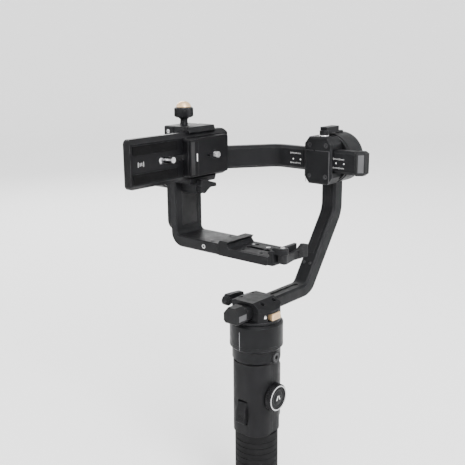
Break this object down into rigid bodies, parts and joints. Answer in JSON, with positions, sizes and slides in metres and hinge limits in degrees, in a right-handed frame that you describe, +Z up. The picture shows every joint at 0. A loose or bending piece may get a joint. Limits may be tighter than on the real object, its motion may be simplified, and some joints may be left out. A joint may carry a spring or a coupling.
{
  "type": "camera gimbal",
  "caption": "Handheld three-axis camera stabiliser: a round grip with controls, stacked pan, roll and tilt motors on bent sliding arms, a camera tray and an upright quick-release plate.",
  "frame": {"origin": "Centre of the flat end of the handle's battery cap, at the mouth of its tripod thread.", "axes": "+Z up along the pan axis, -Y the way the lens looks, +X towards the open end of the camera tray (the operator's left when looking along -Y)."},
  "size_m": [0.202, 0.2675, 0.4475],
  "materials": {
    "dark_alloy": "black anodised, satin",
    "grey_alloy": "grey anodised, satin",
    "black_plastic": "fine matte texture",
    "gloss_black": "polished",
    "grip_rubber": "matt, ribbed",
    "pad_rubber": "matt",
    "gold_alloy": "champagne anodised",
    "steel": "machined",
    "bearing_steel": "ground",
    "thread_brass": "turned",
    "magnet_nickel": "nickel plated",
    "winding": "varnished copper on laminated steel",
    "board_green": "solder mask",
    "cell_wrap": "shrink wrap",
    "display_glass": "polished",
    "record_red": "polished"
  },
  "bodies": {
    "handle": {"battery_cap": "dark_alloy", "tripod_insert": "steel", "battery_cells": "cell_wrap", "grip_sleeve": "grip_rubber", "handle_front_shell": "black_plastic", "handle_rear_shell": "black_plastic", "control_fascia": "gloss_black", "display_window": "display_glass", "control_board": "board_green", "side_port_insert": "steel", "handle_screws": "steel", "pan_motor_cup": "dark_alloy", "pan_stator": "winding", "pan_bearings": "bearing_steel"},
    "focus_wheel": {"focus_wheel": "black_plastic"},
    "trigger": {"trigger": "black_plastic"},
    "joystick_ring": {"joystick_ring": "steel"},
    "joystick": {"joystick": "black_plastic"},
    "mode_button": {"mode_button": "black_plastic"},
    "menu_button": {"menu_button": "black_plastic"},
    "record_button": {"record_button": "record_red"},
    "pan_stage": {"pan_rotor": "dark_alloy", "pan_magnets": "magnet_nickel", "yaw_clamp_base": "dark_alloy", "yaw_clamp_cap": "dark_alloy", "yaw_clamp_screws": "steel"},
    "pan_latch": {"pan_latch": "gold_alloy"},
    "yaw_lever": {"yaw_lever": "dark_alloy"},
    "yaw_arm": {"yaw_arm": "dark_alloy", "yaw_arm_end_cap": "black_plastic", "roll_motor_cover": "dark_alloy", "roll_stator": "winding", "roll_bearings": "bearing_steel"},
    "roll_latch": {"roll_latch": "gold_alloy"},
    "roll_stage": {"roll_rotor": "dark_alloy", "roll_magnets": "magnet_nickel", "roll_clamp_base": "dark_alloy", "roll_clamp_cover": "dark_alloy", "roll_clamp_screws": "steel"},
    "roll_lever": {"roll_lever": "dark_alloy"},
    "roll_arm": {"roll_arm": "dark_alloy", "roll_arm_end_cap": "black_plastic", "tilt_motor_cover": "dark_alloy", "tilt_stator": "winding", "tilt_bearings": "bearing_steel"},
    "tilt_stage": {"tilt_rotor": "dark_alloy", "tilt_magnets": "magnet_nickel", "tilt_rail": "dark_alloy"},
    "bracket": {"l_bracket": "grey_alloy", "tray_receiver": "dark_alloy", "clamp_yoke": "dark_alloy", "upright_receiver": "dark_alloy"},
    "height_knob": {"height_knob": "dark_alloy"},
    "upright_lever": {"upright_lever": "dark_alloy"},
    "tray_jaw": {"tray_jaw": "dark_alloy"},
    "tray_lever": {"tray_lever": "dark_alloy"},
    "plate": {"quick_plate": "dark_alloy", "plate_pads": "pad_rubber", "camera_riser": "dark_alloy", "camera_screw": "steel"}
  },
  "joints": [
    {"name": "pan_axis", "type": "hinge", "parent": "handle", "child": "pan_stage", "pos_m": [0, 0, 0.224], "axis": [0, 0, 1], "continuous": true},
    {"name": "yaw_arm_slide", "type": "slide", "parent": "pan_stage", "child": "yaw_arm", "axis": [0, 1, 0], "range_m": [-0.02, 0.008]},
    {"name": "roll_axis", "type": "hinge", "parent": "yaw_arm", "child": "roll_stage", "pos_m": [0, 0.1335, 0.379], "axis": [0, 1, 0], "range_deg": [-20, 45]},
    {"name": "roll_arm_slide", "type": "slide", "parent": "roll_stage", "child": "roll_arm", "axis": [1, 0, 0], "range_m": [-0.02, 0.02]},
    {"name": "tilt_axis", "type": "hinge", "parent": "roll_arm", "child": "tilt_stage", "pos_m": [-0.117, 0, 0.379], "axis": [1, 0, 0], "range_deg": [-50, 45]},
    {"name": "bracket_slide", "type": "slide", "parent": "tilt_stage", "child": "bracket", "axis": [0, 0, 1], "range_m": [0, 0.015]},
    {"name": "plate_slide", "type": "slide", "parent": "bracket", "child": "plate", "axis": [0, 1, 0], "range_m": [-0.02, 0.02]},
    {"name": "yaw_lever_swing", "type": "hinge", "parent": "pan_stage", "child": "yaw_lever", "pos_m": [-0.026, -0.014, 0.2414], "axis": [-1, 0, 0], "range_deg": [-90, 0]},
    {"name": "pan_latch_slide", "type": "slide", "parent": "pan_stage", "child": "pan_latch", "axis": [0, 1, 0], "range_m": [-0.004, 0]},
    {"name": "roll_latch_slide", "type": "slide", "parent": "yaw_arm", "child": "roll_latch", "axis": [0, 1, 0], "range_m": [-0.003, 0]},
    {"name": "roll_lever_swing", "type": "hinge", "parent": "roll_stage", "child": "roll_lever", "pos_m": [0.003, 0.117, 0.4055], "axis": [0, 0, 1], "range_deg": [-80, 80]},
    {"name": "height_knob_turn", "type": "hinge", "parent": "bracket", "child": "height_knob", "pos_m": [-0.1, 0, 0.4223], "axis": [0, 0, 1], "continuous": true},
    {"name": "upright_lever_swing", "type": "hinge", "parent": "bracket", "child": "upright_lever", "pos_m": [-0.072, -0.006, 0.357], "axis": [1, 0, 0], "range_deg": [-90, 0]},
    {"name": "tray_lever_swing", "type": "hinge", "parent": "tray_jaw", "child": "tray_lever", "pos_m": [0.043, -0.012, 0.304], "axis": [0, 0, -1], "range_deg": [0, 90]},
    {"name": "tray_jaw_slide", "type": "slide", "parent": "bracket", "child": "tray_jaw", "axis": [1, 0, 0], "range_m": [0, 0.002]},
    {"name": "focus_wheel_turn", "type": "hinge", "parent": "handle", "child": "focus_wheel", "pos_m": [0.0225, 0, 0.141], "axis": [1, 0, 0], "continuous": true},
    {"name": "trigger_pull", "type": "hinge", "parent": "handle", "child": "trigger", "pos_m": [0, -0.0195, 0.134], "axis": [1, 0, 0], "range_deg": [0, 10], "stiffness_Nm_per_rad": 0.12, "springref_deg": -5.73},
    {"name": "joystick_sideways", "type": "hinge", "parent": "handle", "child": "joystick_ring", "pos_m": [0, 0.0195, 0.134], "axis": [0, 0, 1], "range_deg": [-12, 12], "stiffness_Nm_per_rad": 0.05},
    {"name": "joystick_up_down", "type": "hinge", "parent": "joystick_ring", "child": "joystick", "pos_m": [0, 0.0195, 0.134], "axis": [1, 0, 0], "range_deg": [-12, 12], "stiffness_Nm_per_rad": 0.05},
    {"name": "mode_button_press", "type": "slide", "parent": "handle", "child": "mode_button", "axis": [0, -1, 0], "range_m": [0, 0.0008], "stiffness_N_per_m": 300, "springref_m": -0.0005},
    {"name": "menu_button_press", "type": "slide", "parent": "handle", "child": "menu_button", "axis": [0, -1, 0], "range_m": [0, 0.0008], "stiffness_N_per_m": 300, "springref_m": -0.0005},
    {"name": "record_button_press", "type": "slide", "parent": "handle", "child": "record_button", "axis": [0, -1, 0], "range_m": [0, 0.0008], "stiffness_N_per_m": 300, "springref_m": -0.0005}
  ],
  "couplings": [
    {"joint": "tray_lever_swing", "follows": "tray_jaw_slide", "rad_per_m": 785}
  ]
}
